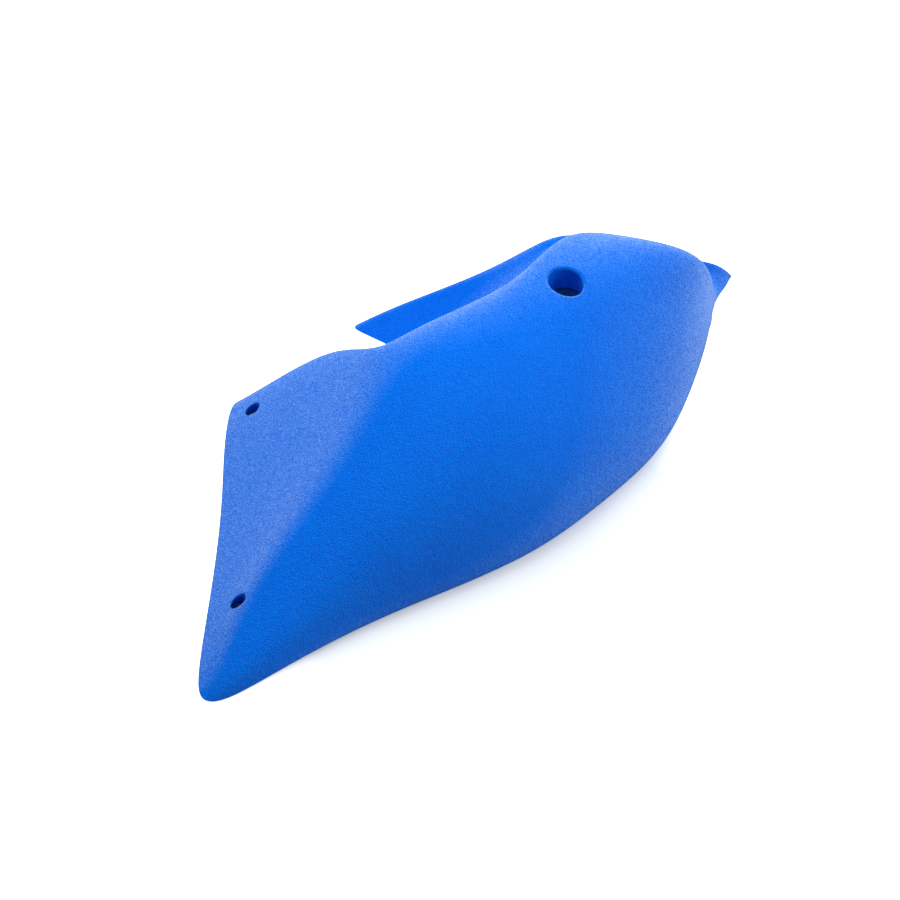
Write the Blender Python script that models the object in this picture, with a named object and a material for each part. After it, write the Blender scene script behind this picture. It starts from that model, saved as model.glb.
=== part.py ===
"""Large climbing hold: a cast body with a fin along its back, three holes and three steel washers.

The body is one smooth sheet stretched over a coarse cage of hand-placed points. The sheet dips below
the wall plane all round its edge and in the finger notch, and a flat cut at the wall plane closes it.
Every hole runs square to the wall. The wall plane is z = 0 and +Z points away from the wall.
"""

import math

import bmesh
import bpy

MM = 0.001

# Plan position of the box centre, in the cage's own coordinates, in millimetres
PLAN_CENTRE = (22.06, -13.3)

# Depth below the wall plane of a cage point that is written with no height
FOOT = -15.0
SHEET_LEVEL = 2

# Bolt hole: counterbore for the bolt head, cast-in washer, clearance hole for the shank
BOLT_AT = (64.0, 58.0)
BOLT_HEAD_R = 10.0
BOLT_SHANK_R = 5.5
BOLT_WASHER_TOP = 60.5
BOLT_WASHER_R = 12.0
BOLT_WASHER_HOLE_R = 6.0
BOLT_WASHER_T = 2.5

# Two screw holes that stop the hold from turning on its bolt
REAR_SCREW_AT = (-111.0, 22.0)
REAR_WASHER_TOP = 5.0
FRONT_SCREW_AT = (-108.7, -123.0)
FRONT_WASHER_TOP = 8.0
SCREW_HEAD_R = 4.1
SCREW_SHANK_R = 2.5
SCREW_WASHER_R = 5.0
SCREW_WASHER_HOLE_R = 2.8
SCREW_WASHER_T = 1.5

# Share of a washer's thickness that its chamfer takes off, outside the seat that the recess leaves bare
WASHER_CHAMFER = 0.45

# Clearance between a washer and the resin round it
GAP = 0.3
ABOVE = 100.0
BELOW = -5.0

BODY_BLUE = (0.004, 0.150, 0.820, 1.0)
STEEL_GREY = (0.42, 0.44, 0.43, 1.0)

# The cage, row by row from the front edge to the back edge, each row from the left end to the right end.
# A point is (x, y, z) in millimetres, and (x, y) alone is a foot point below the wall plane.
CAGE = {
    "front skirt": [
        (-145, -190), (-131, -188.5), (-122, -184.5), (-111, -178.5), (-98, -169),
        (-67, -144), (-28, -120), (8, -101), (44, -79), (67, -59),
        (89.7, -35.5), (122.5, 1.5), (142, 55), (152.8, 92.5), (156, 112),
    ],
    "front lip": [
        (-145, -188), (-131.5, -187.5, -3), (-122, -184, 0), (-111, -178, 5), (-98, -168.5, 6),
        (-67, -143, 8), (-29, -118, 9), (7, -100, 10), (43, -78, 11), (66, -57.5, 11),
        (88.2, -34.5, 11), (120.5, 1.5, 11), (141, 55, 11), (151.8, 92.5, 12), (157, 115),
    ],
    "lower flank": [
        (-144, -164, -13), (-129, -163, -0.5), (-122, -161, 3.5), (-115, -157, 9), (-105, -151, 13.5),
        (-74, -132, 20.2), (-33, -107, 26), (1, -87, 31), (37, -65, 34), (58, -46.5, 35),
        (78, -25, 35), (107, 15, 35), (132.5, 57, 35), (150.3, 95, 27), (157.6, 109.5),
    ],
    "middle flank": [
        (-142, -127, -13), (-126, -126, 0.5), (-118.5, -125, 5.5), (-110, -122, 13.5), (-101, -117, 21.5),
        (-74, -102, 32), (-37, -84, 42.5), (-6, -60, 51), (26, -40, 55), (45, -20.5, 56.5),
        (63, 1, 57), (93, 39, 57.5), (123.5, 74, 54), (150.3, 99.5, 41), (158.4, 116.5),
    ],
    "upper flank": [
        (-139, -82, -13), (-124.5, -81, 0.5), (-111, -80.5, 9), (-93, -78.5, 22.5), (-76, -74.5, 36.6),
        (-61, -65, 44.4), (-38, -50, 56.4), (-12, -28, 64.6), (18, -11, 69), (36, 10, 71.5),
        (56, 33, 73.3), (86, 64, 72), (119, 91, 66), (151.6, 104.5, 48), (158.8, 121.5),
    ],
    "ridge top": [
        (-141, -37, -13), (-124.2, -36, 0.5), (-109, -36.5, 10.5), (-87, -36, 26), (-66.5, -34, 41.4),
        (-49.5, -29, 56.3), (-33, -18, 66.3), (-16, -4, 71.7), (12, 15, 75), (31, 34, 75.8),
        (53, 58, 76.8), (84, 84, 74.5), (118.5, 101, 66.5), (154, 109, 48), (159.5, 124.5),
    ],
    "ridge back": [
        (-142, 4, -13), (-127, 4, 0.5), (-109, 5.5, 12.5), (-85, 7, 29.5), (-61, 5.5, 47.5),
        (-40.5, 1, 64.6), (-29, 6, 69.5), (-15, 15, 74), (11, 31, 75), (34.5, 49.5, 75.6),
        (56, 76.5, 76.4), (85, 98, 72.5), (119, 109, 64), (155, 114, 43.5), (160.3, 127.5),
    ],
    "shoulder": [
        (-142, 35, -13), (-126.3, 35, -0.3), (-109, 37, 12), (-85.3, 38.8, 30), (-62.6, 36.8, 46.2),
        (-42.5, 13, 64.3), (-28, 18.5, 68.2), (-12, 30, 70.3), (13, 45, 71.3), (40.3, 65, 72.6),
        (60, 97, 75.4), (88, 110, 67.5), (122, 117, 55.5), (154.5, 119, 25.5), (162.5, 130.8),
    ],
    "behind the shoulder": [
        (-142, 41, -13), (-126, 41, -4), (-108, 42, 8.5), (-84.3, 43.8, 26), (-60.6, 40.5, 41.5),
        (-41, 18.5, 59.3), (-27, 25, 61.8), (-10, 37, 63), (16, 53, 63), (44, 76.5, 62),
        (64, 109.5, 69), (91, 118.5, 61), (125, 125, 42.5), (155, 127, 11), (170, 136),
    ],
    "back wall": [
        (-142, 48), (-126, 47), (-107, 46), (-82, 46), (-58, 42),
        (-38, 24.5), (-23, 33), (-8, 47, 16), (20, 64, 38), (46, 88, 49),
        (66, 117, 60), (94, 124.5, 50), (127.5, 131, 28), (156, 133.5, 8), (181.5, 140.5),
    ],
    "valley floor": [
        (-142, 60), (-126, 60), (-107, 58), (-84, 58), (-62, 58),
        (-40, 54), (-22, 54, -8), (-6, 64, 3), (22, 80, 30), (46, 99, 46),
        (65, 119, 56.5), (97, 128.5, 46), (130, 135, 23.5), (160, 139.5, 8.8), (182.5, 144.5),
    ],
    "fin face": [
        (-142, 85), (-126, 84), (-108, 82), (-90, 82), (-72, 84),
        (-54, 95, -3), (-30, 96, 5), (-9, 100, 11), (23, 104, 30.5), (46, 109, 46.5),
        (65, 121, 55.5), (99, 131, 43.5), (132, 138, 22), (163, 144, 11.3), (179, 148.3),
    ],
    "fin crest": [
        (-142, 108), (-126, 106), (-108, 104), (-94, 102), (-81, 100),
        (-59, 102, 1.5), (-34, 107, 12.3), (-12, 111, 19.8), (22, 113.5, 35.3), (46, 118, 49.4),
        (65, 123, 58), (100, 133, 42), (133, 140, 22), (165.5, 147, 15.6), (178.6, 151.7),
    ],
    "behind the fin crest": [
        (-142, 114), (-126, 112), (-108, 110), (-94, 108), (-81, 106),
        (-59, 107, -3), (-34, 112, 9), (-12, 116, 17), (22, 119, 32), (46, 124, 44),
        (66, 129, 51.5), (101, 138, 37), (134, 144, 18), (167, 150.2, 9.5), (180.5, 154.2),
    ],
    "back skirt": [
        (-142, 120), (-126, 118), (-108, 116), (-94, 114), (-81, 112),
        (-59, 112), (-34, 116), (-12, 121), (22, 124), (46, 129),
        (70, 134), (102, 141), (135, 147.5), (165, 152.5), (186, 157),
    ],
}


def clear_scene():
    """Empty the startup scene."""
    for obj in list(bpy.data.objects):
        bpy.data.objects.remove(obj, do_unlink=True)


def plan(x, y):
    """A plan position in metres, measured from the box centre."""
    return ((x - PLAN_CENTRE[0]) * MM, (y - PLAN_CENTRE[1]) * MM)


def material(name, colour, metallic, roughness):
    """A plain Principled BSDF material."""
    made = bpy.data.materials.new(name)
    made.use_nodes = True
    shader = made.node_tree.nodes["Principled BSDF"]
    shader.inputs["Base Color"].default_value = colour
    shader.inputs["Metallic"].default_value = metallic
    shader.inputs["Roughness"].default_value = roughness
    made.diffuse_color = colour
    return made


def add_object(name, mesh):
    """Link a mesh into the scene as a named object."""
    obj = bpy.data.objects.new(name, mesh)
    bpy.context.scene.collection.objects.link(obj)
    return obj


def evaluated_mesh(obj):
    """A plain copy of an object's mesh with its modifiers carried out."""
    bpy.context.view_layer.update()
    graph = bpy.context.evaluated_depsgraph_get()
    return bpy.data.meshes.new_from_object(obj.evaluated_get(graph))


def cage_mesh():
    """The coarse cage as an open grid of quads."""
    rows = [[(*plan(p[0], p[1]), (p[2] if len(p) > 2 else FOOT) * MM) for p in row] for row in CAGE.values()]
    across = len(rows[0])
    points = [point for row in rows for point in row]
    faces = []
    for r in range(len(rows) - 1):
        for c in range(across - 1):
            corner = r * across + c
            faces.append((corner, corner + 1, corner + across + 1, corner + across))
    mesh = bpy.data.meshes.new("cage")
    mesh.from_pydata(points, [], faces)
    return mesh


def smooth_sheet():
    """The cage rounded by subdivision, as a plain mesh."""
    cage = add_object("cage", cage_mesh())
    smooth = cage.modifiers.new("smooth", "SUBSURF")
    smooth.levels = SHEET_LEVEL
    smooth.render_levels = SHEET_LEVEL
    sheet = evaluated_mesh(cage)
    bpy.data.objects.remove(cage, do_unlink=True)
    return sheet


def close_at_wall(mesh):
    """Cut the sheet at the wall plane, drop what lies below and fill the flat back."""
    bm = bmesh.new()
    bm.from_mesh(mesh)
    everything = list(bm.verts) + list(bm.edges) + list(bm.faces)
    cut = bmesh.ops.bisect_plane(
        bm,
        geom=everything,
        dist=1e-6,
        plane_co=(0.0, 0.0, 0.0),
        plane_no=(0.0, 0.0, 1.0),
        clear_inner=True,
    )
    rim = [item for item in cut["geom_cut"] if isinstance(item, bmesh.types.BMEdge)]
    for vert in {vert for edge in rim for vert in edge.verts}:
        vert.co.z = 0.0
    bmesh.ops.remove_doubles(bm, verts=bm.verts, dist=2e-5)
    rim = [edge for edge in bm.edges if edge.is_boundary]
    bmesh.ops.contextual_create(bm, geom=rim)
    bmesh.ops.recalc_face_normals(bm, faces=bm.faces)
    bm.to_mesh(mesh)
    bm.free()


def turned(name, profile, segments, at):
    """A solid turned about an upright axis from a closed profile of (radius, height) pairs in millimetres.

    A profile that starts and ends on the axis gives a plug, and one that stays clear of it gives a ring.
    """
    x, y = plan(*at)
    bm = bmesh.new()
    rings = []
    for radius, height in profile:
        if radius == 0.0:
            rings.append([bm.verts.new((x, y, height * MM))])
            continue
        ring = []
        for k in range(segments):
            angle = 2.0 * math.pi * k / segments
            point = (x + radius * MM * math.cos(angle), y + radius * MM * math.sin(angle), height * MM)
            ring.append(bm.verts.new(point))
        rings.append(ring)
    for lower, upper in zip(rings, rings[1:] + rings[:1]):
        if len(lower) == 1 and len(upper) == 1:
            continue
        for k in range(segments):
            after = (k + 1) % segments
            if len(lower) == 1:
                bm.faces.new((lower[0], upper[after], upper[k]))
            elif len(upper) == 1:
                bm.faces.new((lower[k], lower[after], upper[0]))
            else:
                bm.faces.new((lower[k], lower[after], upper[after], upper[k]))
    bmesh.ops.recalc_face_normals(bm, faces=bm.faces)
    mesh = bpy.data.meshes.new(name)
    bm.to_mesh(mesh)
    bm.free()
    return add_object(name, mesh)


def hole_cutter(name, at, head_r, shank_r, washer_r, washer_top, washer_t, segments):
    """The space of one stepped hole: shank, washer pocket and the open recess above it."""
    pocket_r = washer_r + GAP
    pocket_low = washer_top - washer_t - GAP
    pocket_high = washer_top + GAP
    profile = [
        (0.0, BELOW),
        (shank_r, BELOW),
        (shank_r, pocket_low),
        (pocket_r, pocket_low),
        (pocket_r, pocket_high),
        (head_r, pocket_high),
        (head_r, ABOVE),
        (0.0, ABOVE),
    ]
    cutter = turned(name, profile, segments, at)
    cutter.hide_render = True
    cutter.display_type = "WIRE"
    return cutter


def washer(name, at, outer_r, seat_r, hole_r, top, thickness, segments, steel):
    """A steel washer lying level. Its top is flat as far as the seat, and chamfered under the resin."""
    low = top - thickness
    shoulder = top - WASHER_CHAMFER * thickness
    profile = [(hole_r, low), (outer_r, low), (outer_r, shoulder), (seat_r, top), (hole_r, top)]
    obj = turned(name, profile, segments, at)
    finish(obj, steel)
    return obj


def finish(obj, slot):
    """Give the object its material, and smooth shading that stops at its corners."""
    mesh = obj.data
    mesh.materials.clear()
    mesh.materials.append(slot)
    mesh.shade_smooth()
    mesh.set_sharp_from_angle(angle=math.radians(40.0))


def hold_body(cutters, resin):
    """The cast body: closed sheet less the three stepped holes."""
    sheet = smooth_sheet()
    close_at_wall(sheet)
    blank = add_object("blank", sheet)
    for cutter in cutters:
        cut = blank.modifiers.new(cutter.name, "BOOLEAN")
        cut.operation = "DIFFERENCE"
        cut.solver = "EXACT"
        cut.object = cutter
    mesh = evaluated_mesh(blank)
    bpy.data.objects.remove(blank, do_unlink=True)
    mesh.name = "hold_body"
    body = add_object("hold_body", mesh)
    finish(body, resin)
    return body


def main():
    clear_scene()
    resin = material("resin_blue", BODY_BLUE, 0.0, 0.85)
    steel = material("washer_steel", STEEL_GREY, 1.0, 0.45)
    holes = [
        ("bolt", BOLT_AT, BOLT_HEAD_R, BOLT_SHANK_R, BOLT_WASHER_R, BOLT_WASHER_HOLE_R,
         BOLT_WASHER_TOP, BOLT_WASHER_T, 64),
        ("rear_screw", REAR_SCREW_AT, SCREW_HEAD_R, SCREW_SHANK_R, SCREW_WASHER_R, SCREW_WASHER_HOLE_R,
         REAR_WASHER_TOP, SCREW_WASHER_T, 40),
        ("front_screw", FRONT_SCREW_AT, SCREW_HEAD_R, SCREW_SHANK_R, SCREW_WASHER_R, SCREW_WASHER_HOLE_R,
         FRONT_WASHER_TOP, SCREW_WASHER_T, 40),
    ]
    cutters = []
    for name, at, head_r, shank_r, washer_r, washer_hole_r, top, thickness, segments in holes:
        seat_r = head_r - GAP
        cutters.append(
            hole_cutter(name + "_cutter", at, head_r, shank_r, washer_r, top, thickness, segments)
        )
        washer(name + "_washer", at, washer_r, seat_r, washer_hole_r, top, thickness, segments, steel)
    hold_body(cutters, resin)


if __name__ == "__main__":
    main()
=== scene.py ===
"""The look of a large climbing hold on a white stage.

The hold is sand-grained blue resin with three cast-in steel washers.
"""

import math

import bmesh
import bpy
import numpy as np
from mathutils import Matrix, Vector


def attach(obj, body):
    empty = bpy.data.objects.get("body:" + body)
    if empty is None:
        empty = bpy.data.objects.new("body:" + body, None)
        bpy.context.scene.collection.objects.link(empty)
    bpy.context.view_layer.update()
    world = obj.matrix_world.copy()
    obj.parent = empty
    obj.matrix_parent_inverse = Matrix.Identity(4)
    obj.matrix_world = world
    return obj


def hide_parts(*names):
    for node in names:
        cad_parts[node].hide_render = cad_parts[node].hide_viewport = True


bl_info = {
    "name": "Sculpted hold",
    "version": (1, 0, 0),
    "blender": (4, 5, 0),
    "location": "3D View > Sidebar > Hold",
    "description": "Builds the resin, the washers and the stage of a large climbing hold",
    "category": "Add Mesh",
}

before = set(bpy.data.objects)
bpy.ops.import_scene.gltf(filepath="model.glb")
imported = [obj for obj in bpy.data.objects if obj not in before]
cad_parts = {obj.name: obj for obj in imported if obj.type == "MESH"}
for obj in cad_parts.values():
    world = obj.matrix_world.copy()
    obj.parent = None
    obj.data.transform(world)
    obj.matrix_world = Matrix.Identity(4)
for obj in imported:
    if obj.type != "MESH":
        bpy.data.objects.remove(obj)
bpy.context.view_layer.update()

MM = 0.001

# Plan position of the box centre, in the cage's own coordinates, in millimetres
PLAN_CENTRE = (22.06, -13.3)

# Height in millimetres of a cage point that is written without one, below the wall plane
FOOT = -15.0

# The holes, in millimetres: the place in the cage's own plan coordinates, the radii of the
# shank hole, the washer and the washer's bore, the height of the washer's top and its
# thickness. The last entry is the number of sides of the round cut.
HOLES = {
    "bolt": {
        "at": (64.0, 58.0),
        "shank": 5.5,
        "washer": 12.0,
        "bore": 6.0,
        "top": 60.5,
        "thick": 2.5,
        "sides": 128,
    },
    "rear_screw": {
        "at": (-111.0, 22.0),
        "shank": 2.5,
        "washer": 5.0,
        "bore": 2.8,
        "top": 5.0,
        "thick": 1.5,
        "sides": 72,
    },
    "front_screw": {
        "at": (-108.7, -123.0),
        "shank": 2.5,
        "washer": 5.0,
        "bore": 2.8,
        "top": 8.0,
        "thick": 1.5,
        "sides": 72,
    },
}

# Play between a washer and its pocket, and the heights of a cut's two ends, in millimetres
WASHER_PLAY = 0.3
CUT_TOP = 100.0
CUT_FOOT = -5.0

# Where a rim is rounded the sheet is this many times finer, to this far past the rounding in
# metres. The rims are looked for at this many places per cage cell, and places are rounded
# to this many digits.
RIM_DETAIL = 4
RIM_MARGIN = 0.0006
RIM_SEARCH_STEPS = 40
PLACE_DIGITS = 6

# In metres: the height under which faces are dropped before the cut at the wall plane, the
# cut's own tolerance, and how near points are merged along its rim and in a washer
WELL_BELOW = -1e-5
CUT_TOLERANCE = 1e-6
RIM_MERGE = 2e-5
SEAM_MERGE = 1e-6

# Edges bent by more than this stay sharp
BODY_SHARP = math.radians(38.0)
WASHER_SHARP = math.radians(50.0)

# Steps round a washer, and in each of its rounded edges
WASHER_STEPS = 96
EDGE_STEPS = 3

# A resin body with fewer faces than this has come out wrong
FEWEST_FACES = 1000

# The skin's three noises: how fine each is per metre, and how strongly it shades the blue. The
# grain and the clumps also raise the relief, so the blue is lighter on its tops and darker in its
# pits: partly the resin's own random tone, partly painted light and shade on the grain
NOISE_MIDDLE = 0.5
GRAIN = {"Scale": 1350.0, "Detail": 2.0, "Roughness": 0.7}
CLUMPS = {"Scale": 330.0, "Detail": 2.0, "Roughness": 0.6}
CLOUD = {"Scale": 28.0, "Detail": 2.0, "Roughness": 0.5}
GRAIN_SHADE = 4.5
CLUMPS_SHADE = 0.8
CLOUD_SHADE = 0.6

# The skin's relief: its depth in metres, and the share of the clumps in it
RELIEF_DEPTH = 0.0011
CLUMPS_RELIEF = 0.5

# The pale grains: how many places for one per metre, how large one is, how sharp its edge is
SPECK_SCALE = 60.0
SPECK_SIZE = 0.022
SPECK_EDGE = 90.0

# The resin's soft gloss
RESIN_ROUGHNESS = 0.5
RESIN_GLOSS = 0.15

# The painted sheen, a pale colour mixed in where the skin turns away from the eye, standing in
# for the gloss of the bright surroundings:
# how far the skin has turned away where it starts, how fast it grows, its most, and how strongly
# two of the noises break it up
PAINTED_SHEEN_START = 0.20
PAINTED_SHEEN_GROWTH = 0.29
PAINTED_SHEEN_MOST = 0.33
PAINTED_SHEEN_GRAIN = 10.0
PAINTED_SHEEN_CLUMPS = 1.5

# Past a hole's radius by this much, in metres, the skin has its painted sheen and the ground its
# white glow
HOLE_MARGIN = 0.0001

# The washers' finish: its mottle per metre, the least roughness, and what the mottle adds
STEEL_MOTTLE_SCALE = 900.0
STEEL_ROUGHNESS = 0.35
STEEL_MOTTLE = 0.25

WHITE = (1.0, 1.0, 1.0, 1.0)

# The floor's half width, and its depth below the wall plane
FLOOR_HALF = 4.0
FLOOR_DROP = 0.0003

# The ground's white is a glow of its own that the camera sees, so that the lamps can stay at a
# plain level; the glow hides the shadow on the ground. It is left out in a strip along the hold's
# front edge, where the shadow shows. For the directions
# across and along the strip: the direction, the strip's middle and half width there in metres
# from the box centre, and how fast the white glow comes back past it, per metre. The last number
# is the share of the white glow that is left within the strip.
SHADE_STRIP = (
    ((0.6, -0.8, 0.0), 0.075, 0.03, 14.0),
    ((0.8, 0.6, 0.0), -0.04, 0.11, 10.0),
)
SHADE_WHITE = 0.04

# The white surround that the skin's gloss mirrors: its strength, how high it reaches (sine
# of the elevation) and how fast it fades there
SURROUND = 0.3
SURROUND_TOP = 0.60
SURROUND_FADE = 4.0

# Soft lamps, left out of the gloss: name, place, size in metres, power in watts
LAMPS = (
    ("back_lamp", (-0.65, 0.95, 1.42), 1.0, 28.3),
    ("right_lamp", (1.5, 0.1, 0.8), 1.0, 13.4),
    ("low_back_lamp", (1.2, 1.0, 0.4), 0.8, 5.2),
    ("top_lamp", (0.0, 0.05, 0.6), 0.5, 1.9),
)
LAMP_AIM = (0.0, 0.0, 0.02)

# Camera of the photograph: 45 degrees above the ground, aimed at a point on it. The lens
# and its sensor are in millimetres, the rest in metres.
CAMERA_ELEVATION = math.radians(45.0)
CAMERA_DISTANCE = 1.187
CAMERA_TARGET = (-0.02206, 0.0133, 0.0)
CAMERA_LENS = 85.0
CAMERA_SENSOR = 36.0
CAMERA_REACH = 20.0

# The cage, row by row from the front edge to the back edge, each row from the left end to
# the right end. A point is (x, y, z) in millimetres, and (x, y) alone is a foot point below
# the wall plane.
CAGE = {
    "front skirt": [
        (-145, -190), (-131, -188.5), (-122, -184.5), (-111, -178.5),
        (-98, -169), (-67, -144), (-28, -120), (8, -101),
        (44, -79), (67, -59), (89.7, -35.5), (122.5, 1.5),
        (142, 55), (152.8, 92.5), (156, 112),
    ],
    "front lip": [
        (-145, -188), (-131.5, -187.5, -3), (-122, -184, 0), (-111, -178, 5),
        (-98, -168.5, 6), (-67, -143, 8), (-29, -118, 9), (7, -100, 10),
        (43, -78, 11), (66, -57.5, 11), (88.2, -34.5, 11), (120.5, 1.5, 11),
        (141, 55, 11), (151.8, 92.5, 12), (157, 115),
    ],
    "lower flank": [
        (-144, -164, -13), (-129, -163, -0.5), (-122, -161, 3.5), (-115, -157, 9),
        (-105, -151, 13.5), (-74, -132, 20.2), (-33, -107, 26), (1, -87, 31),
        (37, -65, 34), (58, -46.5, 35), (78, -25, 35), (107, 15, 35),
        (132.5, 57, 35), (150.3, 95, 27), (157.6, 109.5),
    ],
    "middle flank": [
        (-142, -127, -13), (-126, -126, 0.5), (-118.5, -125, 5.5), (-110, -122, 13.5),
        (-101, -117, 21.5), (-74, -102, 32), (-37, -84, 42.5), (-6, -60, 51),
        (26, -40, 55), (45, -20.5, 56.5), (63, 1, 57), (93, 39, 57.5),
        (123.5, 74, 54), (150.3, 99.5, 41), (158.4, 116.5),
    ],
    "upper flank": [
        (-139, -82, -13), (-124.5, -81, 0.5), (-111, -80.5, 9), (-93, -78.5, 22.5),
        (-76, -74.5, 36.6), (-61, -65, 44.4), (-38, -50, 56.4), (-12, -28, 64.6),
        (18, -11, 69), (36, 10, 71.5), (56, 33, 73.3), (86, 64, 72),
        (119, 91, 66), (151.6, 104.5, 48), (158.8, 121.5),
    ],
    "ridge top": [
        (-141, -37, -13), (-124.2, -36, 0.5), (-109, -36.5, 10.5), (-87, -36, 26),
        (-66.5, -34, 41.4), (-49.5, -29, 56.3), (-33, -18, 66.3), (-16, -4, 71.7),
        (12, 15, 75), (31, 34, 75.8), (53, 58, 76.8), (84, 84, 74.5),
        (118.5, 101, 66.5), (154, 109, 48), (159.5, 124.5),
    ],
    "ridge back": [
        (-142, 4, -13), (-127, 4, 0.5), (-109, 5.5, 12.5), (-85, 7, 29.5),
        (-61, 5.5, 47.5), (-40.5, 1, 64.6), (-29, 6, 69.5), (-15, 15, 74),
        (11, 31, 75), (34.5, 49.5, 75.6), (56, 76.5, 76.4), (85, 98, 72.5),
        (119, 109, 64), (155, 114, 43.5), (160.3, 127.5),
    ],
    "shoulder": [
        (-142, 35, -13), (-126.3, 35, -0.3), (-109, 37, 12), (-85.3, 38.8, 30),
        (-62.6, 36.8, 46.2), (-42.5, 13, 64.3), (-28, 18.5, 68.2), (-12, 30, 70.3),
        (13, 45, 71.3), (40.3, 65, 72.6), (60, 97, 75.4), (88, 110, 67.5),
        (122, 117, 55.5), (154.5, 119, 25.5), (162.5, 130.8),
    ],
    "behind the shoulder": [
        (-142, 41, -13), (-126, 41, -4), (-108, 42, 8.5), (-84.3, 43.8, 26),
        (-60.6, 40.5, 41.5), (-41, 18.5, 59.3), (-27, 25, 61.8), (-10, 37, 63),
        (16, 53, 63), (44, 76.5, 62), (64, 109.5, 69), (91, 118.5, 61),
        (125, 125, 42.5), (155, 127, 11), (170, 136),
    ],
    "back wall": [
        (-142, 48), (-126, 47), (-107, 46), (-82, 46),
        (-58, 42), (-38, 24.5), (-23, 33), (-8, 47, 16),
        (20, 64, 38), (46, 88, 49), (66, 117, 60), (94, 124.5, 50),
        (127.5, 131, 28), (156, 133.5, 8), (181.5, 140.5),
    ],
    "valley floor": [
        (-142, 60), (-126, 60), (-107, 58), (-84, 58),
        (-62, 58), (-40, 54), (-22, 54, -8), (-6, 64, 3),
        (22, 80, 30), (46, 99, 46), (65, 119, 56.5), (97, 128.5, 46),
        (130, 135, 23.5), (160, 139.5, 8.8), (182.5, 144.5),
    ],
    "fin face": [
        (-142, 85), (-126, 84), (-108, 82), (-90, 82),
        (-72, 84), (-54, 95, -3), (-30, 96, 5), (-9, 100, 11),
        (23, 104, 30.5), (46, 109, 46.5), (65, 121, 55.5), (99, 131, 43.5),
        (132, 138, 22), (163, 144, 11.3), (179, 148.3),
    ],
    "fin crest": [
        (-142, 108), (-126, 106), (-108, 104), (-94, 102),
        (-81, 100), (-59, 102, 1.5), (-34, 107, 12.3), (-12, 111, 19.8),
        (22, 113.5, 35.3), (46, 118, 49.4), (65, 123, 58), (100, 133, 42),
        (133, 140, 22), (165.5, 147, 15.6), (178.6, 151.7),
    ],
    "behind the fin crest": [
        (-142, 114), (-126, 112), (-108, 110), (-94, 108),
        (-81, 106), (-59, 107, -3), (-34, 112, 9), (-12, 116, 17),
        (22, 119, 32), (46, 124, 44), (66, 129, 51.5), (101, 138, 37),
        (134, 144, 18), (167, 150.2, 9.5), (180.5, 154.2),
    ],
    "back skirt": [
        (-142, 120), (-126, 118), (-108, 116), (-94, 114),
        (-81, 112), (-59, 112), (-34, 116), (-12, 121),
        (22, 124), (46, 129), (70, 134), (102, 141),
        (135, 147.5), (165, 152.5), (186, 157),
    ],
}


class HoldSizes(bpy.types.PropertyGroup):
    """Sizes of the visible surface and its holes."""

    sheet_steps: bpy.props.IntProperty(
        name="Steps per cage cell",
        description="How finely each cell of the cage is divided",
        default=12,
        min=4,
        max=16,
    )
    bolt_recess: bpy.props.FloatProperty(
        name="Bolt recess radius",
        description="Radius of the counterbore for the bolt head",
        default=0.010,
        unit="LENGTH",
        subtype="DISTANCE",
    )
    screw_recess: bpy.props.FloatProperty(
        name="Screw recess radius",
        description="Radius of the recess for a screw head",
        default=0.0041,
        unit="LENGTH",
        subtype="DISTANCE",
    )
    bolt_rounding: bpy.props.FloatProperty(
        name="Bolt rim rounding",
        description="Radius of the rounded rim of the bolt recess",
        default=0.0018,
        unit="LENGTH",
        subtype="DISTANCE",
    )
    screw_rounding: bpy.props.FloatProperty(
        name="Screw rim rounding",
        description="Radius of the rounded rim of a screw recess",
        default=0.0007,
        unit="LENGTH",
        subtype="DISTANCE",
    )
    washer_rounding: bpy.props.FloatProperty(
        name="Washer edge rounding",
        description="Radius of a washer's stamped edges",
        default=0.0003,
        unit="LENGTH",
        subtype="DISTANCE",
    )


class HoldColours(bpy.types.PropertyGroup):
    """Colours of the resin, the steel and the stage."""

    resin: bpy.props.FloatVectorProperty(
        name="Resin",
        description="Blue of the cast resin",
        subtype="COLOR",
        size=4,
        min=0.0,
        max=1.0,
        default=(0.001, 0.215, 1.000, 1.0),
    )
    # Darker blue where the grain's relief is low: partly the resin's own tone, partly painted
    # shade in the grain's pits
    resin_pits_tone_and_shade: bpy.props.FloatVectorProperty(
        name="Resin between the grains",
        description="Darker blue in the pits of the grain",
        subtype="COLOR",
        size=4,
        min=0.0,
        max=1.0,
        default=(0.000, 0.138, 0.850, 1.0),
    )
    # Painted sheen: a pale colour mixed in where the skin turns away, standing in for the gloss
    # of the bright surroundings
    painted_sheen: bpy.props.FloatVectorProperty(
        name="Painted sheen",
        description="Pale sheen of the skin where it turns away",
        subtype="COLOR",
        size=4,
        min=0.0,
        max=1.0,
        default=(0.75, 1.0, 1.0, 1.0),
    )
    speck: bpy.props.FloatVectorProperty(
        name="Pale specks",
        description="Colour of the few pale grains in the skin",
        subtype="COLOR",
        size=4,
        min=0.0,
        max=1.0,
        default=(0.45, 0.62, 0.90, 1.0),
    )
    steel: bpy.props.FloatVectorProperty(
        name="Washer steel",
        description="Green-grey of the plated washers",
        subtype="COLOR",
        size=4,
        min=0.0,
        max=1.0,
        default=(0.46, 0.62, 0.42, 1.0),
    )
    ground: bpy.props.FloatVectorProperty(
        name="Ground",
        description="White of the floor",
        subtype="COLOR",
        size=4,
        min=0.0,
        max=1.0,
        default=(0.87, 0.915, 0.935, 1.0),
    )


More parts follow.
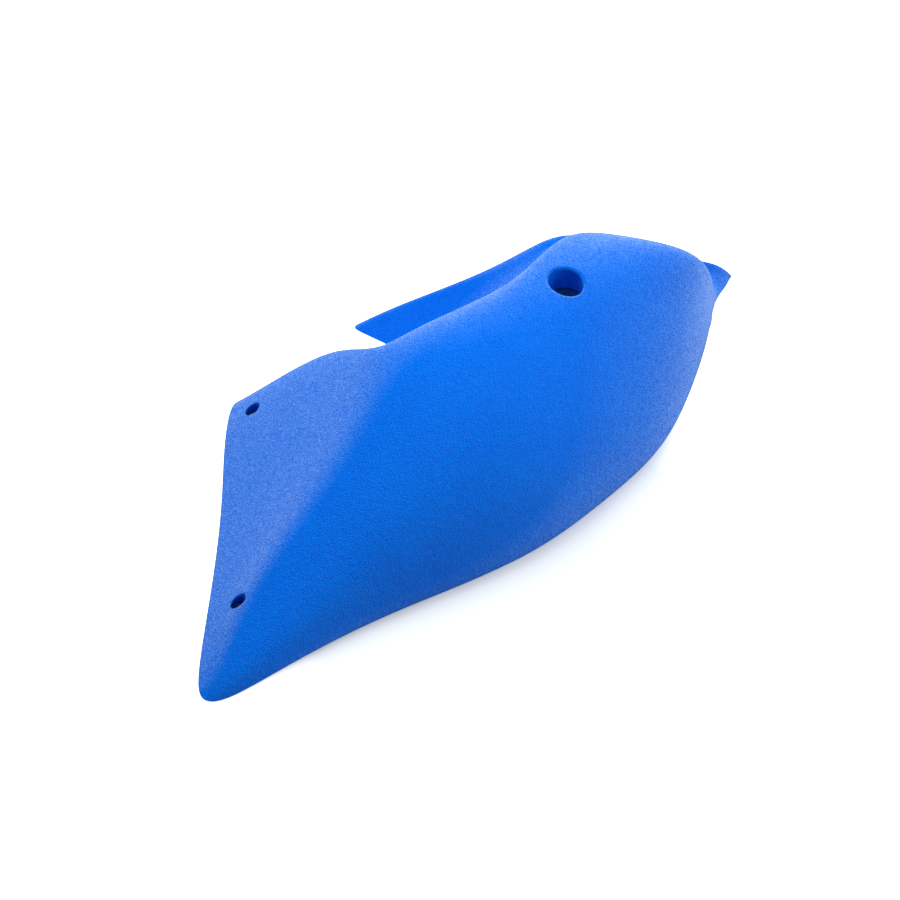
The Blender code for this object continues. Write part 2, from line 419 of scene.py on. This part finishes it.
class Value:
    """A number carried by a node socket. Arithmetic on it adds Math nodes."""

    def __init__(self, nodes, socket):
        self.nodes = nodes
        self.socket = socket

    def _maths(self, operation, *terms):
        sockets = dict(enumerate(terms))
        return self.nodes.add("ShaderNodeMath", {"operation": operation}, sockets)

    def __add__(self, other):
        return self._maths("ADD", self, other)

    def __radd__(self, other):
        return self._maths("ADD", other, self)

    def __sub__(self, other):
        return self._maths("SUBTRACT", self, other)

    def __rsub__(self, other):
        return self._maths("SUBTRACT", other, self)

    def __mul__(self, other):
        return self._maths("MULTIPLY", self, other)

    def __rmul__(self, other):
        return self._maths("MULTIPLY", other, self)

    def __gt__(self, other):
        return self._maths("GREATER_THAN", self, other)

    def __abs__(self):
        return self._maths("ABSOLUTE", self)

    def clamped(self, most=1.0):
        """The value, kept between nought and the most it may be."""
        return self.nodes.add("ShaderNodeClamp", {}, {"Value": self, "Max": most})


class Nodes:
    """A node tree, emptied and ready to be filled."""

    def __init__(self, tree):
        self.tree = tree
        tree.nodes.clear()

    def add(self, kind, settings=None, sockets=None, out=0):
        """Add a node: first its settings, then its sockets' values or links.

        Returns the output that is asked for, or None from a node without outputs.
        """
        node = self.tree.nodes.new(kind)
        for name, value in (settings or {}).items():
            setattr(node, name, value)
        for name, value in (sockets or {}).items():
            socket = node.inputs[name]
            if isinstance(value, Value):
                self.tree.links.new(value.socket, socket)
            else:
                socket.default_value = value
        return Value(self, node.outputs[out]) if len(node.outputs) else None


def new_material(name):
    """A fresh material and the Nodes that fill it."""
    material = bpy.data.materials.new(name)
    material.use_nodes = True
    return material, Nodes(material.node_tree)


def noise(nodes, place, fineness):
    """A noise over the surface, as fine and as rough as the given sockets say."""
    return nodes.add("ShaderNodeTexNoise", {}, {"Vector": place, **fineness})


def vector_maths(nodes, operation, first, second, out="Vector"):
    """A Vector Math node on two vectors."""
    ends = {0: first, 1: second}
    return nodes.add("ShaderNodeVectorMath", {"operation": operation}, ends, out)


def mixed(nodes, factor, first, second):
    """The first colour at nought, the second at one."""
    return nodes.add(
        "ShaderNodeMix",
        {"data_type": "RGBA", "clamp_factor": True},
        {0: factor, 6: first, 7: second},  # the sockets of a Mix node that is set to colours
        out=2,
    )


def plan(x, y):
    """A plan position in metres, measured from the box centre."""
    return ((x - PLAN_CENTRE[0]) * MM, (y - PLAN_CENTRE[1]) * MM)


def recess_radius(name, sizes):
    """Radius of the recess above a hole's washer."""
    return sizes.bolt_recess if name == "bolt" else sizes.screw_recess


def rim_rounding(name, sizes):
    """Radius of the rounded rim of a hole's recess."""
    return sizes.bolt_rounding if name == "bolt" else sizes.screw_rounding


def outside_holes(nodes, place, sizes):
    """One everywhere but in the column of each hole, where it is nought."""
    level = vector_maths(nodes, "MULTIPLY", place, (1.0, 1.0, 0.0))
    outside = 1.0
    for name, hole in HOLES.items():
        axis = (*plan(*hole["at"]), 0.0)
        away = vector_maths(nodes, "DISTANCE", level, axis, out="Value")
        outside = (away > recess_radius(name, sizes) + HOLE_MARGIN) * outside
    return outside


def resin_material(colours, sizes):
    """Cast resin with an even, sand-like grain, a soft gloss and a painted sheen: a pale colour
    mixed in where the skin turns away from the eye.
    """
    material, nodes = new_material("sand_grained_resin")
    place = nodes.add("ShaderNodeTexCoord", out="Object")
    grain = noise(nodes, place, GRAIN)
    clumps = noise(nodes, place, CLUMPS)
    cloud = noise(nodes, place, CLOUD)
    # Lighter blue on the grain's tops and darker in its pits, as the same noises raise the
    # relief: partly random tone, partly painted light and shade
    shade = (
        (grain - NOISE_MIDDLE) * GRAIN_SHADE
        + (clumps - NOISE_MIDDLE) * CLUMPS_SHADE
        + (cloud - NOISE_MIDDLE) * CLOUD_SHADE
        + NOISE_MIDDLE
    )
    blue = mixed(nodes, shade, tuple(colours.resin_pits_tone_and_shade), tuple(colours.resin))
    spots = {"Vector": place, "Scale": SPECK_SCALE}
    from_spot = nodes.add("ShaderNodeTexVoronoi", {"feature": "F1"}, spots)
    speck = ((SPECK_SIZE - from_spot) * SPECK_EDGE).clamped()
    colour = mixed(nodes, speck, blue, tuple(colours.speck))
    relief = nodes.add(
        "ShaderNodeBump",
        {},
        {"Strength": 1.0, "Distance": RELIEF_DEPTH, "Height": grain + clumps * CLUMPS_RELIEF},
    )
    body = nodes.add(
        "ShaderNodeBsdfPrincipled",
        {},
        {
            "Base Color": colour,
            "Roughness": RESIN_ROUGHNESS,
            "Specular IOR Level": RESIN_GLOSS,
            "Normal": relief,
        },
    )
    # Painted sheen: a pale matt layer that stands in for the gloss of the bright surroundings
    painted_sheen = nodes.add(
        "ShaderNodeBsdfPrincipled",
        {},
        {
            "Base Color": tuple(colours.painted_sheen),
            "Roughness": 1.0,
            "Specular IOR Level": 0.0,
            "Normal": relief,
        },
    )
    # The painted sheen is mixed in by how far the skin turns away from the eye, broken into
    # specks by two noises, and kept out of the holes
    turned_away = nodes.add("ShaderNodeLayerWeight", {}, {"Blend": 0.5}, out="Facing")
    sheen_breakup = (
        (grain - NOISE_MIDDLE) * PAINTED_SHEEN_GRAIN + (clumps - NOISE_MIDDLE) * PAINTED_SHEEN_CLUMPS + 1.0
    )
    sheen = ((turned_away - PAINTED_SHEEN_START) * sheen_breakup * PAINTED_SHEEN_GROWTH).clamped(PAINTED_SHEEN_MOST)
    sheen = sheen * outside_holes(nodes, place, sizes)
    shader = nodes.add("ShaderNodeMixShader", {}, {0: sheen, 1: body, 2: painted_sheen})
    nodes.add("ShaderNodeOutputMaterial", {}, {"Surface": shader})
    return material


def steel_material(colours):
    """Dull zinc-plated steel."""
    material, nodes = new_material("dull_washer_steel")
    place = nodes.add("ShaderNodeTexCoord", out="Object")
    mottle = noise(nodes, place, {"Scale": STEEL_MOTTLE_SCALE, "Detail": 2.0})
    shader = nodes.add(
        "ShaderNodeBsdfPrincipled",
        {},
        {
            "Base Color": tuple(colours.steel),
            "Metallic": 1.0,
            "Roughness": mottle * STEEL_MOTTLE + STEEL_ROUGHNESS,
        },
    )
    nodes.add("ShaderNodeOutputMaterial", {}, {"Surface": shader})
    return material


def ground_material(colours, sizes):
    """Matt white ground with a white glow of its own for the camera, which hides the shadow
    everywhere but in a strip along the hold's front edge and under the holes.
    """
    material, nodes = new_material("white_ground")
    matt = nodes.add("ShaderNodeBsdfDiffuse", {}, {"Color": tuple(colours.ground)})
    seen = nodes.add("ShaderNodeLightPath", out="Is Camera Ray")
    place = nodes.add("ShaderNodeTexCoord", out="Object")
    # Glow that hides the shadow, left out in the strip along the front edge and under the holes
    open_ground = SHADE_WHITE
    for direction, middle, half, growth in SHADE_STRIP:
        along = vector_maths(nodes, "DOT_PRODUCT", place, direction, out="Value")
        past = ((abs(along - middle) - half) * growth).clamped()
        open_ground = past + open_ground
    strength = seen * open_ground.clamped() * outside_holes(nodes, place, sizes)
    glow = nodes.add("ShaderNodeEmission", {}, {"Color": WHITE, "Strength": strength})
    both = nodes.add("ShaderNodeAddShader", {}, {0: matt, 1: glow})
    nodes.add("ShaderNodeOutputMaterial", {}, {"Surface": both})
    return material


def add_object(name, data):
    """Link a mesh, a lamp or a camera into the scene as a named object."""
    obj = bpy.data.objects.new(name, data)
    bpy.context.scene.collection.objects.link(obj)
    return obj


def evaluated_mesh(obj):
    """A plain copy of an object's mesh with its modifiers carried out."""
    bpy.context.view_layer.update()
    graph = bpy.context.evaluated_depsgraph_get()
    return bpy.data.meshes.new_from_object(obj.evaluated_get(graph))


def spline_weights(count, places):
    """Weights of a cage line's points in a uniform cubic spline.

    The places are counted in points from the line's start.
    """
    weights = np.zeros((len(places), count + 2))
    first = np.minimum(places.astype(int), count - 2)
    part = places - first
    rows = np.arange(len(places))
    weights[rows, first] = (1 - part) ** 3 / 6
    weights[rows, first + 1] = (3 * part**3 - 6 * part**2 + 4) / 6
    weights[rows, first + 2] = (-3 * part**3 + 3 * part**2 + 3 * part + 1) / 6
    weights[rows, first + 3] = part**3 / 6
    return weights


def cage_point(x, y, z=FOOT):
    """A point of the cage in metres."""
    return (*plan(x, y), z * MM)


def cage_array():
    """The cage in metres, with one more ring of points mirrored outwards past its edge."""
    cage = np.array([[cage_point(*point) for point in row] for row in CAGE.values()])
    before = 2 * cage[:1] - cage[1:2]
    after = 2 * cage[-1:] - cage[-2:-1]
    cage = np.concatenate([before, cage, after], axis=0)
    before = 2 * cage[:, :1] - cage[:, 1:2]
    after = 2 * cage[:, -1:] - cage[:, -2:-1]
    return np.concatenate([before, cage, after], axis=1)


def sheet_points(cage, down, across):
    """Points of the smooth sheet at the given places along the cage's columns and rows."""
    left = spline_weights(cage.shape[0] - 2, down)
    right = spline_weights(cage.shape[1] - 2, across)
    return np.einsum("ia,abc,jb->ijc", left, cage, right)


def even_places(count, steps):
    """Evenly spaced places from 0 to count - 1."""
    return np.linspace(0, count - 1, (count - 1) * steps + 1)


def places_with_detail(count, steps, spans):
    """Evenly spaced places from 0 to count - 1, closer together inside the given spans."""
    extra = [np.arange(low, high, 1 / (RIM_DETAIL * steps)) for low, high in spans]
    places = np.concatenate([even_places(count, steps), *extra])
    return np.unique(np.round(places, PLACE_DIGITS))


def from_hole(points, hole):
    """Each point's distance from the hole's axis."""
    x, y = plan(*hole["at"])
    return np.hypot(points[:, :, 0] - x, points[:, :, 1] - y)


def hole_spans(cage, sizes):
    """For each hole, the span of places down and across the cage that its rounded rim covers."""
    down = even_places(cage.shape[0] - 2, RIM_SEARCH_STEPS)
    across = even_places(cage.shape[1] - 2, RIM_SEARCH_STEPS)
    points = sheet_points(cage, down, across)
    spans = []
    for name, hole in HOLES.items():
        reach = recess_radius(name, sizes) + rim_rounding(name, sizes) + RIM_MARGIN
        near = from_hole(points, hole) < reach
        rows = np.where(near.any(axis=1))[0]
        columns = np.where(near.any(axis=0))[0]
        spans.append(((down[rows[0]], down[rows[-1]]), (across[columns[0]], across[columns[-1]])))
    return spans


def round_rims(points, sizes):
    """Let the sheet sink in a quarter round towards each hole."""
    for name, hole in HOLES.items():
        rounding = rim_rounding(name, sizes)
        away = from_hole(points, hole) - recess_radius(name, sizes)
        inward = np.clip(rounding - away, 0.0, rounding)
        points[:, :, 2] -= rounding - np.sqrt(rounding**2 - inward**2)
    return points


def grid_mesh(name, points):
    """A mesh of quads through a grid of points."""
    down, across, _ = points.shape
    index = np.arange(down * across).reshape(down, across)
    corners = [index[:-1, :-1], index[:-1, 1:], index[1:, 1:], index[1:, :-1]]
    quads = np.stack(corners, axis=-1).reshape(-1, 4)
    mesh = bpy.data.meshes.new(name)
    mesh.vertices.add(down * across)
    mesh.vertices.foreach_set("co", points.reshape(-1))
    mesh.loops.add(quads.size)
    mesh.loops.foreach_set("vertex_index", quads.reshape(-1))
    mesh.polygons.add(len(quads))
    mesh.polygons.foreach_set("loop_start", np.arange(0, quads.size, 4))
    mesh.update(calc_edges=True)
    return mesh


def close_at_wall(mesh):
    """Cut the sheet at the wall plane, drop what lies below and fill the flat back."""
    bm = bmesh.new()
    bm.from_mesh(mesh)
    below = [face for face in bm.faces if all(vert.co.z < WELL_BELOW for vert in face.verts)]
    bmesh.ops.delete(bm, geom=below, context="FACES")
    cut = bmesh.ops.bisect_plane(
        bm,
        geom=list(bm.verts) + list(bm.edges) + list(bm.faces),
        dist=CUT_TOLERANCE,
        plane_co=(0.0, 0.0, 0.0),
        plane_no=(0.0, 0.0, 1.0),
        clear_inner=True,
    )
    cut_edges = [item for item in cut["geom_cut"] if isinstance(item, bmesh.types.BMEdge)]
    # Each point once, in a fixed order, so that the merging gives the same mesh each run
    rim = list(dict.fromkeys(vert for edge in cut_edges for vert in edge.verts))
    for vert in rim:
        vert.co.z = 0.0
    bmesh.ops.remove_doubles(bm, verts=rim, dist=RIM_MERGE)
    bmesh.ops.contextual_create(bm, geom=[edge for edge in bm.edges if edge.is_boundary])
    bmesh.ops.recalc_face_normals(bm, faces=bm.faces)
    bm.to_mesh(mesh)
    bm.free()


def turned(name, profile, segments, at):
    """A solid turned about an upright axis.

    Its profile is (radius, height) pairs that start and end on the axis.
    """
    x, y = plan(*at)
    bm = bmesh.new()
    rings = []
    for radius, height in profile:
        if radius == 0.0:
            rings.append([bm.verts.new((x, y, height))])
            continue
        ring = []
        for k in range(segments):
            angle = 2.0 * math.pi * k / segments
            east = x + radius * math.cos(angle)
            north = y + radius * math.sin(angle)
            ring.append(bm.verts.new((east, north, height)))
        rings.append(ring)
    for lower, upper in zip(rings, rings[1:]):
        for k in range(segments):
            after = (k + 1) % segments
            if len(lower) == 1:
                bm.faces.new((lower[0], upper[after], upper[k]))
            elif len(upper) == 1:
                bm.faces.new((lower[k], lower[after], upper[0]))
            else:
                bm.faces.new((lower[k], lower[after], upper[after], upper[k]))
    bmesh.ops.recalc_face_normals(bm, faces=bm.faces)
    mesh = bpy.data.meshes.new(name)
    bm.to_mesh(mesh)
    bm.free()
    return add_object(name, mesh)


def hole_cutter(name, hole, recess):
    """The space of one stepped hole: shank, washer pocket and the open recess above it."""
    shank = hole["shank"] * MM
    pocket = (hole["washer"] + WASHER_PLAY) * MM
    low = (hole["top"] - hole["thick"] - WASHER_PLAY) * MM
    high = (hole["top"] + WASHER_PLAY) * MM
    profile = [
        (0.0, CUT_FOOT * MM),
        (shank, CUT_FOOT * MM),
        (shank, low),
        (pocket, low),
        (pocket, high),
        (recess, high),
        (recess, CUT_TOP * MM),
        (0.0, CUT_TOP * MM),
    ]
    return turned(name + "_cutter", profile, hole["sides"], hole["at"])


def hold_surface(sizes):
    """The whole visible casting as one closed mesh."""
    cage = cage_array()
    down_spans, across_spans = zip(*hole_spans(cage, sizes))
    down = places_with_detail(cage.shape[0] - 2, sizes.sheet_steps, down_spans)
    across = places_with_detail(cage.shape[1] - 2, sizes.sheet_steps, across_spans)
    points = round_rims(sheet_points(cage, down, across), sizes)
    mesh = grid_mesh("hold_surface", points)
    close_at_wall(mesh)
    blank = add_object("blank", mesh)
    cutters = [
        hole_cutter(name, hole, recess_radius(name, sizes)) for name, hole in HOLES.items()
    ]
    for cutter in cutters:
        cut = blank.modifiers.new(cutter.name, "BOOLEAN")
        cut.operation = "DIFFERENCE"
        cut.solver = "EXACT"
        cut.object = cutter
    finished = evaluated_mesh(blank)
    for helper in [blank, *cutters]:
        bpy.data.objects.remove(helper, do_unlink=True)
    finished.name = "hold_surface"
    finished.shade_smooth()
    finished.set_sharp_from_angle(angle=BODY_SHARP)
    return add_object("hold_surface", finished)


def washer_tree(steel):
    """A washer as a rounded bar swept round a circle, from named sizes."""
    tree = bpy.data.node_groups.new("washer_ring", "GeometryNodeTree")
    tree.interface.new_socket("Geometry", in_out="OUTPUT", socket_type="NodeSocketGeometry")
    for name in ("Outer Radius", "Bore Radius", "Thickness", "Edge Rounding"):
        tree.interface.new_socket(name, in_out="INPUT", socket_type="NodeSocketFloat")
    tree.interface.new_socket("Centre", in_out="INPUT", socket_type="NodeSocketVector")
    nodes = Nodes(tree)
    source = tree.nodes.new("NodeGroupInput")
    size = {socket.name: Value(nodes, socket) for socket in source.outputs if socket.name}
    width = size["Outer Radius"] - size["Bore Radius"]
    middle = (size["Outer Radius"] + size["Bore Radius"]) * 0.5
    circle = nodes.add(
        "GeometryNodeCurvePrimitiveCircle",
        {"mode": "RADIUS"},
        {"Resolution": WASHER_STEPS, "Radius": middle},
    )
    bar = nodes.add(
        "GeometryNodeCurvePrimitiveQuadrilateral",
        {"mode": "RECTANGLE"},
        {"Width": width, "Height": size["Thickness"]},
    )
    rounded = nodes.add(
        "GeometryNodeFilletCurve",
        {"mode": "POLY"},
        {"Curve": bar, "Radius": size["Edge Rounding"], "Count": EDGE_STEPS},
    )
    swept = {"Curve": circle, "Profile Curve": rounded}
    ring = nodes.add("GeometryNodeCurveToMesh", {}, swept)
    moved = {"Geometry": ring, "Translation": size["Centre"]}
    placed = nodes.add("GeometryNodeTransform", {}, moved)
    real = nodes.add("GeometryNodeRealizeInstances", {}, {"Geometry": placed})
    finished = nodes.add("GeometryNodeSetMaterial", {}, {"Geometry": real, "Material": steel})
    nodes.add("NodeGroupOutput", {}, {0: finished})
    return tree


def set_input(modifier, name, value):
    """Set a Geometry Nodes modifier's input by its socket's identifier."""
    for item in modifier.node_group.interface.items_tree:
        if item.item_type == "SOCKET" and item.in_out == "INPUT" and item.name == name:
            modifier[item.identifier] = value
            return
    raise ValueError("the tree has no input named " + name)


def washer(name, hole, tree, sizes):
    """One washer as a plain mesh, made by the washer tree."""
    carrier = add_object(name, bpy.data.meshes.new(name))
    maker = carrier.modifiers.new("washer_ring", "NODES")
    maker.node_group = tree
    set_input(maker, "Outer Radius", hole["washer"] * MM)
    set_input(maker, "Bore Radius", hole["bore"] * MM)
    set_input(maker, "Thickness", hole["thick"] * MM)
    set_input(maker, "Edge Rounding", sizes.washer_rounding)
    mid_height = (hole["top"] - hole["thick"] / 2) * MM
    set_input(maker, "Centre", (*plan(*hole["at"]), mid_height))
    ring = evaluated_mesh(carrier)
    bpy.data.objects.remove(carrier, do_unlink=True)
    bm = bmesh.new()
    bm.from_mesh(ring)
    bmesh.ops.remove_doubles(bm, verts=bm.verts, dist=SEAM_MERGE)
    bmesh.ops.recalc_face_normals(bm, faces=bm.faces)
    bm.to_mesh(ring)
    bm.free()
    ring.shade_smooth()
    ring.set_sharp_from_angle(angle=WASHER_SHARP)
    return add_object(name, ring)


def add_floor(colours, sizes):
    """The white floor, a little below the hold's flat back."""
    corners = [
        (x * FLOOR_HALF, y * FLOOR_HALF, -FLOOR_DROP)
        for x, y in ((-1, -1), (1, -1), (1, 1), (-1, 1))
    ]
    mesh = bpy.data.meshes.new("floor")
    mesh.from_pydata(corners, [], [(0, 1, 2, 3)])
    mesh.materials.append(ground_material(colours, sizes))
    floor = add_object("floor", mesh)


def add_surround(scene):
    """White behind the hold as the camera sees it, and a low white band for the gloss."""
    world = bpy.data.worlds.new("studio")
    world.use_nodes = True
    scene.world = world
    nodes = Nodes(world.node_tree)
    seen = nodes.add("ShaderNodeLightPath", out="Is Camera Ray")
    mirrored = nodes.add("ShaderNodeLightPath", out="Is Glossy Ray")
    towards = nodes.add("ShaderNodeTexCoord", out="Generated")
    height = nodes.add("ShaderNodeSeparateXYZ", {}, {"Vector": towards}, out="Z")
    band = ((SURROUND_TOP - height) * SURROUND_FADE).clamped()
    strength = seen + mirrored * band * SURROUND
    sky = nodes.add("ShaderNodeBackground", {}, {"Color": WHITE, "Strength": strength})
    nodes.add("ShaderNodeOutputWorld", {}, {"Surface": sky})


def add_lamp(name, place, size, power):
    """A square soft lamp at a place, turned towards the hold."""
    lamp = bpy.data.lights.new(name, "AREA")
    lamp.shape = "SQUARE"
    lamp.size = size
    lamp.energy = power
    obj = add_object(name, lamp)
    obj.location = place
    towards = Vector(LAMP_AIM) - Vector(place)
    obj.rotation_euler = towards.to_track_quat("-Z", "Y").to_euler()
    obj.visible_camera = False
    obj.visible_glossy = False


def add_camera(scene):
    """The camera at the photograph's viewing angle."""
    camera = bpy.data.cameras.new("camera")
    camera.lens = CAMERA_LENS
    camera.sensor_width = CAMERA_SENSOR
    camera.clip_end = CAMERA_REACH
    eye = add_object("camera", camera)
    back = CAMERA_DISTANCE * math.cos(CAMERA_ELEVATION)
    up = CAMERA_DISTANCE * math.sin(CAMERA_ELEVATION)
    eye.location = Vector(CAMERA_TARGET) + Vector((0.0, -back, up))
    eye.rotation_euler = (math.pi / 2 - CAMERA_ELEVATION, 0.0, 0.0)
    scene.camera = eye


class HOLD_OT_surface(bpy.types.Operator):
    """Build the resin body with its grain and rounded holes"""

    bl_idname = "hold.surface"
    bl_label = "Resin body"

    def execute(self, context):
        scene = context.scene
        body = hold_surface(scene.hold_sizes)
        if len(body.data.polygons) < FEWEST_FACES:
            raise RuntimeError("the resin body came out empty")
        body.data.materials.clear()
        body.data.materials.append(resin_material(scene.hold_colours, scene.hold_sizes))
        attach(body, "root")
        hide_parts("hold_body")
        return {"FINISHED"}


class HOLD_OT_washers(bpy.types.Operator):
    """Build the three steel washers"""

    bl_idname = "hold.washers"
    bl_label = "Washers"

    def execute(self, context):
        scene = context.scene
        tree = washer_tree(steel_material(scene.hold_colours))
        for name, hole in HOLES.items():
            ring = washer(name + "_ring", hole, tree, scene.hold_sizes)
            if not ring.data.polygons:
                raise RuntimeError("the washer tree made no mesh")
            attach(ring, "root")
            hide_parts(name + "_washer")
        return {"FINISHED"}


class HOLD_OT_stage(bpy.types.Operator):
    """Build the white floor, the soft lamps and the camera"""

    bl_idname = "hold.stage"
    bl_label = "Stage"

    def execute(self, context):
        scene = context.scene
        scene.view_settings.view_transform = "Standard"
        add_floor(scene.hold_colours, scene.hold_sizes)
        add_surround(scene)
        for lamp in LAMPS:
            add_lamp(*lamp)
        add_camera(scene)
        return {"FINISHED"}


class HOLD_PT_panel(bpy.types.Panel):
    """Lists the hold's sizes, colours and steps in the sidebar"""

    bl_idname = "HOLD_PT_panel"
    bl_label = "Sculpted hold"
    bl_space_type = "VIEW_3D"
    bl_region_type = "UI"
    bl_category = "Hold"

    def draw(self, context):
        column = self.layout.column()
        for group in (context.scene.hold_sizes, context.scene.hold_colours):
            for name in group.bl_rna.properties.keys():
                if name not in ("rna_type", "name"):
                    column.prop(group, name)
        for operator in STEPS:
            column.operator(operator.bl_idname)


STEPS = (HOLD_OT_surface, HOLD_OT_washers, HOLD_OT_stage)
CLASSES = (HoldSizes, HoldColours, *STEPS, HOLD_PT_panel)


def register():
    for item in CLASSES:
        bpy.utils.register_class(item)
    bpy.types.Scene.hold_sizes = bpy.props.PointerProperty(type=HoldSizes)
    bpy.types.Scene.hold_colours = bpy.props.PointerProperty(type=HoldColours)


def unregister():
    del bpy.types.Scene.hold_colours
    del bpy.types.Scene.hold_sizes
    for item in reversed(CLASSES):
        bpy.utils.unregister_class(item)


def main():
    register()
    bpy.ops.hold.surface()
    bpy.ops.hold.washers()
    bpy.ops.hold.stage()


if __name__ == "__main__":
    main()
